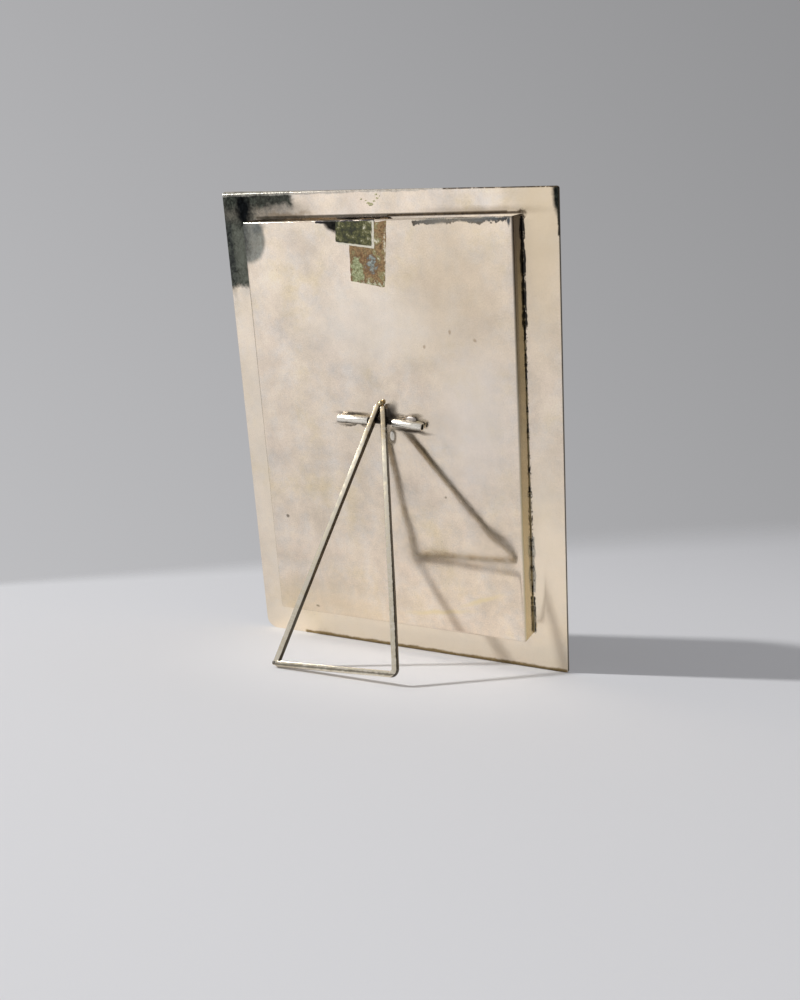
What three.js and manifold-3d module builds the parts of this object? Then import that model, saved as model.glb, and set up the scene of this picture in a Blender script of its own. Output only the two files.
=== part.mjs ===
import * as THREE from 'three';
import { mergeVertices } from 'three/addons/utils/BufferGeometryUtils.js';
import Module from 'manifold-3d';

// Table picture frame of thin polished sheet metal. A flat front plate with a window carries a shallow folded
// pan on its back. The pan is open at the top and takes the glass, the print and the board. A stand bent from
// square wire turns on a pin in two short tubes and stops with its apex against the pan.
// Millimetres, +Z up. The picture faces -Y. Left and right are as seen from behind, so left is +X.

// Print and what is stacked with it
const printWidth = 102;
const printHeight = 152;
const printThickness = 0.3;
const glassThickness = 2;
const boardThickness = 4.2;
const glassArris = 0.3;
const stackGap = 0.25;
const sideClearance = 1.5;
const mouthDepth = 1.3;

// Front plate
const sideBorder = 13.2;
const topBorder = 8.7;
const bottomBorder = 14;
const plateThickness = 1.2;
const plateCornerRadius = 0.8;
const wornCornerRadius = 4.5;
const windowOverlap = 5;
const windowCornerRadius = 0.6;

// Back pan
const sheetThickness = 0.8;
const foldRadius = 1.3;
const panCornerRadius = 2;
const seamSize = 0.8;
const seamEndGap = 4;

// Hinge
const hingeHeight = 96;
const tubeRadius = 1.6;
const boreRadius = 1.1;
const tubeLength = 13;
const tubeSpacing = 10;
const tubeChamfer = 0.15;
const tubeSolderEnd = 1.2;
const pinRadius = 0.95;
const pinEndRound = 0.3;
const pinRecess = 2.2;
const pinSolderLength = 2;

// Bed of solder between a rod and a flat surface: how far it climbs round the rod and spreads on the surface
const solderLowAngle = THREE.MathUtils.degToRad(48);
const solderHighAngle = THREE.MathUtils.degToRad(74);
const solderLowSpread = 1.05;
const solderHighSpread = 1.45;
const solderHollow = 0.7;

// Stand
const wireSize = 2.1;
const wireChamfer = 0.25;
const footSpan = 46.4;
const bendInnerRadius = 0.3;
const bendOuterRadius = 2.2;
const apexRound = 0.8;
const leanAngle = THREE.MathUtils.degToRad(16.4);
const openAngle = THREE.MathUtils.degToRad(34.5);
const apexBeadHeight = 1.5;
const apexBeadReach = 1.9;
const cornerBeadHeight = 0.6;
const cornerBeadReach = 1.1;

// Clearances of pieces that are soldered or laid against each other
const seatGap = 0.2;
const solderGap = 0.1;
const stopGap = 0.3;
const tubeBed = 0.4;
const pinBed = 0.35;

// Sizes that follow from the ones above
const pocketWidth = printWidth + 2 * sideClearance;
const pocketDepth = glassThickness + printThickness + boardThickness + 4 * stackGap;
const panWidth = pocketWidth + 2 * sheetThickness;
const panDepth = pocketDepth + sheetThickness;
const stackBottom = bottomBorder + sheetThickness + seatGap;
const panTop = stackBottom + printHeight + mouthDepth;
const plateWidth = panWidth + 2 * sideBorder;
const plateHeight = panTop + topBorder;
const pinOffset = panDepth + tubeBed + tubeRadius;
const wireInner = pinRadius + pinBed;
const wireMiddle = wireInner + wireSize / 2;
const swing = openAngle - leanAngle;

const wasm = await Module();
wasm.setup();

function toSolid(geometry) {
  const bare = geometry.clone();
  bare.deleteAttribute('normal');
  bare.deleteAttribute('uv');
  const merged = mergeVertices(bare);
  const vertProperties = Float32Array.from(merged.attributes.position.array);
  const triVerts = Uint32Array.from(merged.index.array);
  return new wasm.Manifold(new wasm.Mesh({ numProp: 3, vertProperties, triVerts }));
}

function toGeometry(solid) {
  const mesh = solid.getMesh();
  const geometry = new THREE.BufferGeometry();
  geometry.setAttribute('position', new THREE.BufferAttribute(mesh.vertProperties, 3));
  geometry.setIndex(new THREE.BufferAttribute(mesh.triVerts, 1));
  const flat = geometry.toNonIndexed();
  flat.computeVertexNormals();
  return flat;
}

// Closed outline through corners given as [x, y, radius], counter-clockwise, each corner rounded by an arc.
function roundedOutline(corners, PathClass = THREE.Shape) {
  const outline = new PathClass();
  corners.forEach(([x, y, radius], i) => {
    const corner = new THREE.Vector2(x, y);
    const [beforeX, beforeY] = corners.at(i - 1);
    const [afterX, afterY] = corners[(i + 1) % corners.length];
    const toBefore = new THREE.Vector2(beforeX, beforeY).sub(corner).normalize();
    const toAfter = new THREE.Vector2(afterX, afterY).sub(corner).normalize();
    const halfAngle = Math.acos(THREE.MathUtils.clamp(toBefore.dot(toAfter), -1, 1)) / 2;
    const start = corner.clone().addScaledVector(toBefore, radius / Math.tan(halfAngle));
    if (i === 0) outline.moveTo(start.x, start.y);
    else outline.lineTo(start.x, start.y);
    if (radius > 0) {
      const end = corner.clone().addScaledVector(toAfter, radius / Math.tan(halfAngle));
      const bisector = toBefore.clone().add(toAfter).normalize();
      const center = corner.clone().addScaledVector(bisector, radius / Math.sin(halfAngle));
      const startAngle = start.sub(center).angle();
      const endAngle = end.sub(center).angle();
      outline.absarc(center.x, center.y, radius, startAngle, endAngle, toBefore.cross(toAfter) > 0);
    }
  });
  outline.closePath();
  return outline;
}

function rectangle(width, bottom, top, radius, leftBottomRadius = radius) {
  return [
    [-width / 2, bottom, radius],
    [width / 2, bottom, leftBottomRadius],
    [width / 2, top, radius],
    [-width / 2, top, radius],
  ];
}

// Sheet with its outline in the XZ plane and its back face at y = back, with edges eased by a chamfer.
function sheet(outline, thickness, back, chamfer = 0) {
  const geometry = new THREE.ExtrudeGeometry(outline, {
    depth: thickness - 2 * chamfer,
    curveSegments: 6,
    bevelEnabled: chamfer > 0,
    bevelThickness: chamfer,
    bevelSize: chamfer,
    bevelOffset: -chamfer,
    bevelSegments: 1,
  });
  geometry.translate(0, 0, chamfer);
  geometry.rotateX(Math.PI / 2);
  geometry.translate(0, back, 0);
  return geometry;
}

function frontPlate() {
  const outline = roundedOutline(rectangle(plateWidth, 0, plateHeight, plateCornerRadius, wornCornerRadius));
  const windowBottom = stackBottom + windowOverlap;
  const windowTop = stackBottom + printHeight - windowOverlap;
  const windowWidth = printWidth - 2 * windowOverlap;
  const opening = rectangle(windowWidth, windowBottom, windowTop, windowCornerRadius);
  outline.holes.push(roundedOutline(opening, THREE.Path));
  return sheet(outline, plateThickness, 0);
}

// Block with a rounded back edge, used whole for the outside of the pan and inset for its inside.
function panBlock(inset) {
  const edge = foldRadius - inset;
  const bottom = bottomBorder + inset;
  const corners = rectangle(panWidth - 2 * inset, bottom, panTop + foldRadius, panCornerRadius - inset);
  const geometry = new THREE.ExtrudeGeometry(roundedOutline(corners), {
    depth: panDepth,
    curveSegments: 4,
    bevelThickness: edge,
    bevelSize: edge,
    bevelOffset: -edge,
    bevelSegments: 4,
  });
  geometry.rotateX(Math.PI / 2);
  geometry.translate(0, panDepth - inset - edge, 0);
  return toSolid(geometry);
}

function backPan() {
  const depth = panDepth - seatGap;
  const height = panTop - bottomBorder;
  const trim = new THREE.BoxGeometry(panWidth, depth, height);
  trim.translate(0, seatGap + depth / 2, bottomBorder + height / 2);
  return toGeometry(panBlock(0).intersect(toSolid(trim)).subtract(panBlock(sheetThickness)));
}

// Three-cornered run of solder along Z, in the corner between a wall at -X and the plate at -Y.
function seamSolder(length) {
  const section = new THREE.Shape();
  section.moveTo(solderGap, solderGap);
  section.lineTo(solderGap + seamSize, solderGap);
  section.lineTo(solderGap, solderGap + seamSize);
  section.closePath();
  return new THREE.ExtrudeGeometry(section, { depth: length, bevelEnabled: false });
}

function sideSeam(side) {
  const length = panTop - bottomBorder - panCornerRadius - seamEndGap;
  const geometry = seamSolder(length);
  if (side < 0) geometry.rotateZ(Math.PI / 2);
  geometry.translate((side * panWidth) / 2, 0, bottomBorder + panCornerRadius);
  return geometry;
}

function bottomSeam() {
  const length = panWidth - 2 * panCornerRadius;
  const geometry = seamSolder(length);
  geometry.translate(0, 0, -length / 2);
  geometry.rotateY(Math.PI / 2);
  geometry.translate(0, 0, bottomBorder);
  return geometry;
}

// Round piece along X from a profile of [radius, place along the axis].
function turned(profile, segments) {
  const points = profile.map(([radius, along]) => new THREE.Vector2(radius, along));
  const geometry = new THREE.LatheGeometry(points, segments);
  geometry.rotateZ(-Math.PI / 2);
  return geometry;
}

function hingeTube() {
  const half = tubeLength / 2;
  return turned([
    [boreRadius, -half],
    [tubeRadius - tubeChamfer, -half],
    [tubeRadius, -half + tubeChamfer],
    [tubeRadius, half - tubeChamfer],
    [tubeRadius - tubeChamfer, half],
    [boreRadius, half],
    [boreRadius, -half],
  ], 24);
}

function hingePin() {
  const half = tubeSpacing / 2 + tubeLength - pinRecess;
  return turned([
    [0, -half],
    [pinRadius - pinEndRound, -half],
    [pinRadius, -half + pinEndRound],
    [pinRadius, half - pinEndRound],
    [pinRadius - pinEndRound, half],
    [0, half],
  ], 20);
}

// Bed of solder that holds a rod along X to a flat surface, bed beyond the rod towards -Y. Its two sides are
// hollow, as solder draws in, and it climbs higher on the upper side of the rod.
function rodSolder(rodRadius, bed, length) {
  const hug = rodRadius + solderGap;
  const surface = -(rodRadius + bed) + solderGap;
  const low = new THREE.Vector2(-hug * Math.cos(solderLowAngle), -hug * Math.sin(solderLowAngle));
  const section = new THREE.Shape();
  section.moveTo(surface, -hug * solderLowSpread);
  section.quadraticCurveTo(surface * solderHollow, low.y, low.x, low.y);
  section.absarc(0, 0, hug, Math.PI + solderLowAngle, Math.PI - solderHighAngle, true);
  section.quadraticCurveTo(surface * solderHollow, hug, surface, hug * solderHighSpread);
  section.closePath();
  const settings = { depth: length, curveSegments: 6, bevelEnabled: false };
  const geometry = new THREE.ExtrudeGeometry(section, settings);
  geometry.translate(0, 0, -length / 2);
  geometry.rotateY(Math.PI / 2);
  geometry.rotateX(Math.PI / 2);
  return geometry;
}

// Flat-based bead of solder rising along Z.
function bead(reachX, reachY, height) {
  const steps = 5;
  const profile = [new THREE.Vector2(0, 0)];
  for (let i = 0; i <= steps; i += 1) {
    const angle = (i / steps) * (Math.PI / 2);
    profile.push(new THREE.Vector2(i === steps ? 0 : Math.cos(angle), Math.sin(angle)));
  }
  const geometry = new THREE.LatheGeometry(profile, 16);
  geometry.rotateX(Math.PI / 2);
  geometry.scale(reachX, reachY, height);
  return geometry;
}

// Stand, drawn with the pin at its origin and the legs hanging down -Z on the outer side of the pin.
const pinHeight = hingeHeight * Math.cos(leanAngle) - pinOffset * Math.sin(leanAngle);
const footBottom = -(pinHeight + (wireInner + wireChamfer) * Math.sin(swing)) / Math.cos(swing);
const footMiddle = footBottom + wireSize / 2;
const footTop = footBottom + wireSize;
const apexTop = (wireInner * Math.cos(openAngle) + pinOffset - panDepth - stopGap) / Math.sin(openAngle);
const apexSpan = wireSize + 2 * solderGap;
const legSlope = (footSpan - apexSpan) / 2 / (apexTop - footMiddle);
const legHalfWidth = (wireSize / 2) * Math.hypot(1, legSlope);

function legMiddle(z) {
  return apexSpan / 2 + legSlope * (apexTop - z);
}

function leftLeg() {
  const bottom = footTop + solderGap;
  const outline = roundedOutline([
    [legMiddle(bottom) - legHalfWidth, bottom, 0],
    [legMiddle(bottom) + legHalfWidth, bottom, 0],
    [legMiddle(apexTop) + legHalfWidth, apexTop, apexRound],
    [legMiddle(apexTop) - legHalfWidth, apexTop, 0],
  ]);
  return sheet(outline, wireSize, wireInner + wireSize, wireChamfer);
}

function rightLegAndFoot() {
  const footEnd = legMiddle(footMiddle) + legHalfWidth;
  const outline = roundedOutline([
    [-legMiddle(footBottom) - legHalfWidth, footBottom, bendOuterRadius],
    [footEnd, footBottom, 0],
    [footEnd, footTop, 0],
    [-legMiddle(footTop) + legHalfWidth, footTop, bendInnerRadius],
    [-legMiddle(apexTop) + legHalfWidth, apexTop, 0],
    [-legMiddle(apexTop) - legHalfWidth, apexTop, apexRound],
  ]);
  return sheet(outline, wireSize, wireInner + wireSize, wireChamfer);
}

function apexBraze() {
  const geometry = bead(apexBeadReach, wireSize / 2 - wireChamfer, apexBeadHeight);
  geometry.translate(0, wireMiddle, apexTop + solderGap);
  return geometry;
}

function cornerSolder() {
  const geometry = bead(cornerBeadReach, wireSize / 2 - wireChamfer, cornerBeadHeight);
  geometry.rotateY(Math.PI / 2);
  geometry.translate(legMiddle(footMiddle) + legHalfWidth + solderGap, wireMiddle, footTop);
  return geometry;
}

function pinSolder() {
  const geometry = rodSolder(pinRadius, pinBed, pinSolderLength);
  geometry.rotateZ(Math.PI);
  return geometry;
}

function stackSheet(thickness, front, arris = 0) {
  const outline = roundedOutline(rectangle(printWidth, stackBottom, stackBottom + printHeight, 0));
  return sheet(outline, thickness, front + thickness, arris);
}

// Materials
const platedMetal = new THREE.MeshStandardMaterial({ color: 0xcdbfa8, roughness: 0.2, metalness: 1 });
const wireMetal = new THREE.MeshStandardMaterial({ color: 0xc4bba8, roughness: 0.25, metalness: 1 });
const solderMetal = new THREE.MeshStandardMaterial({ color: 0x8f8a80, roughness: 0.45, metalness: 1 });
const brazeMetal = new THREE.MeshStandardMaterial({ color: 0xc9a85a, roughness: 0.35, metalness: 1 });
const clearGlass = new THREE.MeshStandardMaterial({ color: 0xdfe8e4, roughness: 0.05, metalness: 0 });
const printPaper = new THREE.MeshStandardMaterial({ color: 0xe9e4d8, roughness: 0.5, metalness: 0 });
const greyBoard = new THREE.MeshStandardMaterial({ color: 0x9c9182, roughness: 0.9, metalness: 0 });

function addPiece(parent, name, geometry, material, x = 0, y = 0, z = 0) {
  const mesh = new THREE.Mesh(geometry, material);
  mesh.name = name;
  mesh.position.set(x, y, z);
  parent.add(mesh);
  return mesh;
}

// Assembly. The frame leans back about the plate's lower back edge, where it meets the table.
const leaning = new THREE.Group();
leaning.rotation.x = -leanAngle;

addPiece(leaning, 'front_plate', frontPlate(), platedMetal);
addPiece(leaning, 'back_pan', backPan(), platedMetal);
addPiece(leaning, 'seam_solder_bottom', bottomSeam(), solderMetal);

const tubeMiddle = (tubeSpacing + tubeLength) / 2;
for (const [name, side] of [['left', 1], ['right', -1]]) {
  const place = [side * tubeMiddle, pinOffset, hingeHeight];
  const solder = rodSolder(tubeRadius, tubeBed, tubeLength - 2 * tubeSolderEnd);
  addPiece(leaning, `seam_solder_${name}`, sideSeam(side), solderMetal);
  addPiece(leaning, `hinge_tube_${name}`, hingeTube(), platedMetal, ...place);
  addPiece(leaning, `hinge_solder_${name}`, solder, solderMetal, ...place);
}

const glassFront = stackGap;
const printFront = glassFront + glassThickness + stackGap;
const boardFront = printFront + printThickness + stackGap;
addPiece(leaning, 'glass_pane', stackSheet(glassThickness, glassFront, glassArris), clearGlass);
addPiece(leaning, 'photo_print', stackSheet(printThickness, printFront), printPaper);
addPiece(leaning, 'backing_board', stackSheet(boardThickness, boardFront), greyBoard);

const stand = new THREE.Group();
stand.position.set(0, pinOffset, hingeHeight);
stand.rotation.x = openAngle;
addPiece(stand, 'hinge_pin', hingePin(), wireMetal);
addPiece(stand, 'stand_leg_left', leftLeg(), wireMetal);
addPiece(stand, 'stand_leg_right_and_foot', rightLegAndFoot(), wireMetal);
addPiece(stand, 'apex_braze', apexBraze(), brazeMetal);
addPiece(stand, 'corner_solder', cornerSolder(), solderMetal);
addPiece(stand, 'pin_solder_left', pinSolder(), solderMetal, legMiddle(0));
addPiece(stand, 'pin_solder_right', pinSolder(), solderMetal, -legMiddle(0));
leaning.add(stand);

// The origin lies on the table under the middle of the object's box.
const frame = new THREE.Group();
frame.add(leaning);
const box = new THREE.Box3().setFromObject(frame, true);
leaning.position.set(0, -(box.min.y + box.max.y) / 2, -box.min.z);

export default frame;
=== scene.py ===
import bmesh
import bpy
import math
from functools import partial
from mathutils import Matrix, Vector


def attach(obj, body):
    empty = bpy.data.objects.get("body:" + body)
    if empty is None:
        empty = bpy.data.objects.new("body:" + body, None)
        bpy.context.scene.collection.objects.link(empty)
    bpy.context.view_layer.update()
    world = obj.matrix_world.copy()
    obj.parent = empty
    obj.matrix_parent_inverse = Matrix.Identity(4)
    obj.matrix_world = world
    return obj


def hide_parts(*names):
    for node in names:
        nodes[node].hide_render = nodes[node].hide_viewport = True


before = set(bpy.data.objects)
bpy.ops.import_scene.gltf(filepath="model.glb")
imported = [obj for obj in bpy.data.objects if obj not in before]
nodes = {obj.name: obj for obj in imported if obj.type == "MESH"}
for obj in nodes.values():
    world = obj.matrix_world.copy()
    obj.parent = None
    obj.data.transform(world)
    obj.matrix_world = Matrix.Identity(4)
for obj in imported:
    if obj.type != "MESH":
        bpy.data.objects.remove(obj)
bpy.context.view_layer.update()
print("frame loaded:", len(nodes), "nodes")

mm = 0.001
seat = {"lean": math.radians(16.4), "edge": -34.148 * mm}  # how the plate leans, and where its back lower edge stands
seat["flat"] = (0, -seat["edge"] * math.cos(seat["lean"]), -seat["edge"] * math.sin(seat["lean"]))  # back to flat
hinge = {"pin": (0, 2.837 * mm, 89.186 * mm), "swing": math.radians(18.1)}  # the open stand, from upright
hinge["flat"] = (0, -hinge["pin"][1] * math.cos(hinge["swing"]) - hinge["pin"][2] * math.sin(hinge["swing"]),
                 hinge["pin"][1] * math.sin(hinge["swing"]) - hinge["pin"][2] * math.cos(hinge["swing"]))


def linear(hexColour):
    parts = [int(hexColour[i:i + 2], 16) / 255 for i in (1, 3, 5)]
    return [c / 12.92 if c <= 0.04045 else ((c + 0.055) / 1.055) ** 2.4 for c in parts] + [1]


def addNode(tree, kind, inputs={}, **settings):
    node = tree.nodes.new("ShaderNode" + kind)
    for key, value in settings.items():
        setattr(node, key, value)
    for key, value in inputs.items():
        if key in ("From", "To"):  # a range
            node.inputs[key + " Min"].default_value, node.inputs[key + " Max"].default_value = value
            continue
        if isinstance(value, str):  # a colour
            value = linear(value)
        if isinstance(value, bpy.types.Node):  # a node stands for its first output in use
            value = next(socket for socket in value.outputs if socket.enabled)
        if isinstance(value, bpy.types.NodeSocket):
            tree.links.new(value, node.inputs[key])
        else:
            node.inputs[key].default_value = value
    return node


def setRamp(node, first, last, *between):  # each a position and a colour
    stops = node.color_ramp.elements
    for stop, (position, colour) in zip(stops, (first, last)):
        stop.position = position
        stop.color = linear(colour)
    for position, colour in between:
        stops.new(position).color = linear(colour)


def newMaterial(name):  # with what adds its nodes, and each point's place
    material = bpy.data.materials.new(name)
    material.use_nodes = True
    material.node_tree.nodes.clear()
    add = partial(addNode, material.node_tree)
    return material, add, add("TexCoord").outputs["Object"]


# camera, from the plate's edges and the stand's mirror image in the photograph
cameraPlan = {
    "place": (-0.19672, 0.38459, 0.0876),
    "look": (0.43891, -0.89639, -0.06192),
    "right": (-0.89451, -0.44242, 0.06419),
    "lens": 42.062,
}
look = Vector(cameraPlan["look"]).normalized()
right = Vector(cameraPlan["right"])
right = (right - look * right.dot(look)).normalized()
upward = right.cross(look)
cameraData = bpy.data.cameras.new("photoCamera")
cameraData.lens = cameraPlan["lens"]
cameraData.clip_start = 0.01
camera = bpy.data.objects.new("photoCamera", cameraData)
camera.matrix_world = Matrix((
    (right.x, upward.x, -look.x, cameraPlan["place"][0]),
    (right.y, upward.y, -look.y, cameraPlan["place"][1]),
    (right.z, upward.z, -look.z, cameraPlan["place"][2]),
    (0, 0, 0, 1)))
bpy.context.scene.collection.objects.link(camera)
bpy.context.scene.camera = camera
print("camera placed")

# studio: a pale table whose far edge runs off to the right, and a grey room behind it
studio = {
    "tableSize": 5.0, "tableColour": "#DCDCDE", "glowColour": "#E7E7E9", "glowPoint": (-0.01, -0.005, 0),
    "glowWide": 0.10,
    "edgePoint": (0.210, -0.070, 0), "edgeNormal": (0.972, -0.235, 0), "edgeSoft": (0.006, 0.22),
    "room": 0.44, "roomRight": -0.22, "roomUp": -0.20, "ceiling": 0.13, "frontFill": 0.22,
}
bpy.ops.mesh.primitive_plane_add(size=studio["tableSize"])
table = bpy.context.object
table.name = "table"
tablePaint, add, place = newMaterial("matt white table paint")
fromEdge = add("VectorMath", {0: place, 1: studio["edgePoint"]}, operation="SUBTRACT")
beyond = add("VectorMath", {0: fromEdge, 1: studio["edgeNormal"]}, operation="DOT_PRODUCT")
along = add("SeparateXYZ", {0: fromEdge})
blur = add("MapRange", {"Value": along.outputs["Y"], "From": (0.1, -0.7), "To": studio["edgeSoft"]})
share = add("Math", {0: beyond, 1: blur}, operation="DIVIDE")
fade = add("MapRange", {"Value": share, "From": (-0.5, 0.5)}, interpolation_type="SMOOTHSTEP")
fromGlow = add("VectorMath", {0: place, 1: studio["glowPoint"]}, operation="DISTANCE")
glow = add("MapRange", {"Value": fromGlow, "From": (studio["glowWide"], 0.02)},
    interpolation_type="SMOOTHSTEP")  # painted light: a brighter patch where the polished back would throw light on the table before it
paintTone = add("Mix", {0: glow, 6: studio["tableColour"], 7: studio["glowColour"]}, data_type="RGBA")
paint = add("BsdfPrincipled", {"Base Color": paintTone, "Roughness": 0.85, "Specular IOR Level": 0.2})
clear = add("BsdfTransparent")
both = add("MixShader", {0: fade, 1: paint, 2: clear})
add("OutputMaterial", {"Surface": both})
table.data.materials.append(tablePaint)

world = bpy.data.worlds.new("greyRoom")
bpy.context.scene.world = world
world.use_nodes = True
world.node_tree.nodes.clear()
add = partial(addNode, world.node_tree)
way = add("TexCoord").outputs["Generated"]
sideways = add("VectorMath", {0: way, 1: right}, operation="DOT_PRODUCT")
upwards = add("VectorMath", {0: way, 1: upward}, operation="DOT_PRODUCT")
level = add("Math", {0: sideways, 1: studio["roomRight"], 2: studio["room"]}, operation="MULTIPLY_ADD")
level = add("Math", {0: upwards, 1: studio["roomUp"], 2: level}, operation="MULTIPLY_ADD")
height = add("SeparateXYZ", {0: way})
overhead = add("MapRange", {
    "Value": height.outputs["Z"], "From": (0.35, 0.8), "To Max": studio["ceiling"]}, interpolation_type="SMOOTHSTEP")
level = add("Math", {0: level, 1: overhead}, operation="ADD")
ahead = add("MapRange", {"Value": height.outputs["Y"], "From": (-0.2, -0.6)}, interpolation_type="SMOOTHSTEP")
above = add("MapRange", {"Value": height.outputs["Z"], "From": (0.38, 0.6), "To Max": studio["frontFill"]},
    interpolation_type="SMOOTHSTEP")
level = add("Math", {0: ahead, 1: above, 2: level}, operation="MULTIPLY_ADD")
sky = add("Background", {"Color": "#FCFCFF", "Strength": level})
add("OutputWorld", {"Surface": sky})

keyPlan = {"towards": (0.572, 0.572, 0.588), "distance": 2.3, "size": 0.13, "power": 41}
lamp = bpy.data.lights.new("keyLamp", "AREA")
lamp.energy = keyPlan["power"]
lamp.size = keyPlan["size"]
keyLamp = bpy.data.objects.new("keyLamp", lamp)
away = Vector(keyPlan["towards"]).normalized()
keyLamp.location = away * keyPlan["distance"]
keyLamp.rotation_euler = away.to_track_quat("Z", "Y").to_euler()
bpy.context.scene.collection.objects.link(keyLamp)
bpy.context.scene.view_settings.view_transform = "Standard"
print("studio lit")


# modelling by hand: start a primitive, pick parts by place, set the piece where it belongs
def begin(name):
    piece = bpy.context.object
    piece.name = name
    piece.data.name = name
    return piece


def alone(piece):
    bpy.ops.object.select_all(action="DESELECT")
    piece.select_set(True)
    bpy.context.view_layer.objects.active = piece


def pick(piece, kind, test):
    bpy.ops.mesh.select_mode(type=kind)
    bpy.ops.mesh.select_all(action="DESELECT")
    shape = bmesh.from_edit_mesh(piece.data)
    parts = {"VERT": shape.verts, "EDGE": shape.edges, "FACE": shape.faces}[kind]
    for part in parts:
        if kind == "VERT":
            middle = part.co
        elif kind == "EDGE":
            middle = (part.verts[0].co + part.verts[1].co) / 2
        else:
            middle = part.calc_center_median()
        part.select_set(bool(test(middle, part)))
    bmesh.update_edit_mesh(piece.data)


def cut(place, normal, **settings):
    bpy.ops.mesh.select_all(action="SELECT")
    bpy.ops.mesh.bisect(plane_co=place, plane_no=normal, **settings)


def weld():
    bpy.ops.mesh.select_all(action="SELECT")
    bpy.ops.mesh.remove_doubles(threshold=1e-6)


def modify(piece, kind, **settings):
    alone(piece)
    step = piece.modifiers.new(kind.title(), kind)
    for key, value in settings.items():
        setattr(step, key, value)
    bpy.ops.object.modifier_apply(modifier=step.name)


def applyPlace(piece):
    alone(piece)
    bpy.ops.object.transform_apply(location=True, rotation=True, scale=True)


def leanOn(piece):  # from the flat plate drawing to where the plate leans
    piece.rotation_euler = (-seat["lean"], 0, 0)
    piece.location = (0, seat["edge"], 0)
    applyPlace(piece)


def swingOut(piece):  # from the flat stand drawing to where the stand is open
    piece.rotation_euler = (hinge["swing"], 0, 0)
    piece.location = hinge["pin"]
    applyPlace(piece)


def smooth(piece, degrees=35):
    alone(piece)
    bpy.ops.object.shade_smooth_by_angle(angle=math.radians(degrees))


def give(piece, material, body, slot, *stoodFor):
    piece.data.materials.clear()
    piece.data.materials.append(material)
    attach(piece, body)
    if stoodFor:
        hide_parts(*stoodFor)


def clouds(name, size):
    texture = bpy.data.textures.new(name, "CLOUDS")
    texture.noise_scale = size
    texture.noise_depth = 2
    return texture


# nickel silver sheet, rolled, pressed and polished, then left to tarnish: warm pale metal that mirrors the
# table softly, with beige, pink and lavender clouds a few centimetres wide, stains of its own, and some marks of
# painted shade, painted reflection and painted light, noted where they stand
sheetPlan = {
    "beige": "#FBEBD4", "pink": "#F6E5D2", "lavender": "#EFE6DB", "straw": "#F0DCB6", "front": "#F5EADB",
    "noises": {  # size, detail and roughness
        "cloud": (26 * mm, 7.0, 0.66), "patch": (9 * mm, 6.0, 0.7), "grain": (0.5 * mm, 3.0, 0.7),
        "mottle": (17 * mm, 8.0, 0.72), "coarse": (5 * mm, 2.0, 0.5), "fine": (1.0 * mm, 2.0, 0.5),
        "wave": (34 * mm, 1.0, 0.4), "ripple": (5 * mm, 2.0, 0.5)},
    "speck": 2.7 * mm, "hair": 0.22 * mm, "hairLong": 60,
    "waveDeep": 0.30 * mm, "rippleDeep": 0.010 * mm, "hairDeep": 0.0006 * mm, "pitDeep": -0.01 * mm, "pit": "#A79680",
    "shine": (0.06, 0.14), "grainTone": (0.85, 1.09), "mottleTone": (0.84, 1.1), "frontShare": 0.22,
    "streakWide": 1.3 * mm, "streakHigh": 1.6 * mm, "gapSoft": 0.04,
    "strays": {"ragged": (5 * mm, 2.2 * mm), "calm": (1.4 * mm, 0.5 * mm)},  # how far a mark's outline wanders
}


def flatDrawing(add, place):  # across, out and up the plate
    return add("Mapping", {"Vector": place, "Location": seat["flat"], "Rotation": (seat["lean"], 0, 0)})


def pastBox(add, gap, half):  # how far a point lies outside a box
    gap = add("VectorMath", {0: gap}, operation="ABSOLUTE")
    gap = add("VectorMath", {0: gap, 1: half}, operation="SUBTRACT")
    gap = add("VectorMath", {0: gap, 1: (0, 0, 0)}, operation="MAXIMUM")
    return add("VectorMath", {0: gap}, operation="LENGTH")


def inEllipse(add, gap, half):  # 1 on the outline, less inside
    gap = add("VectorMath", {0: gap, 1: (half[0] * mm, 1, half[1] * mm)}, operation="DIVIDE")
    return add("VectorMath", {0: gap}, operation="LENGTH")


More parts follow.
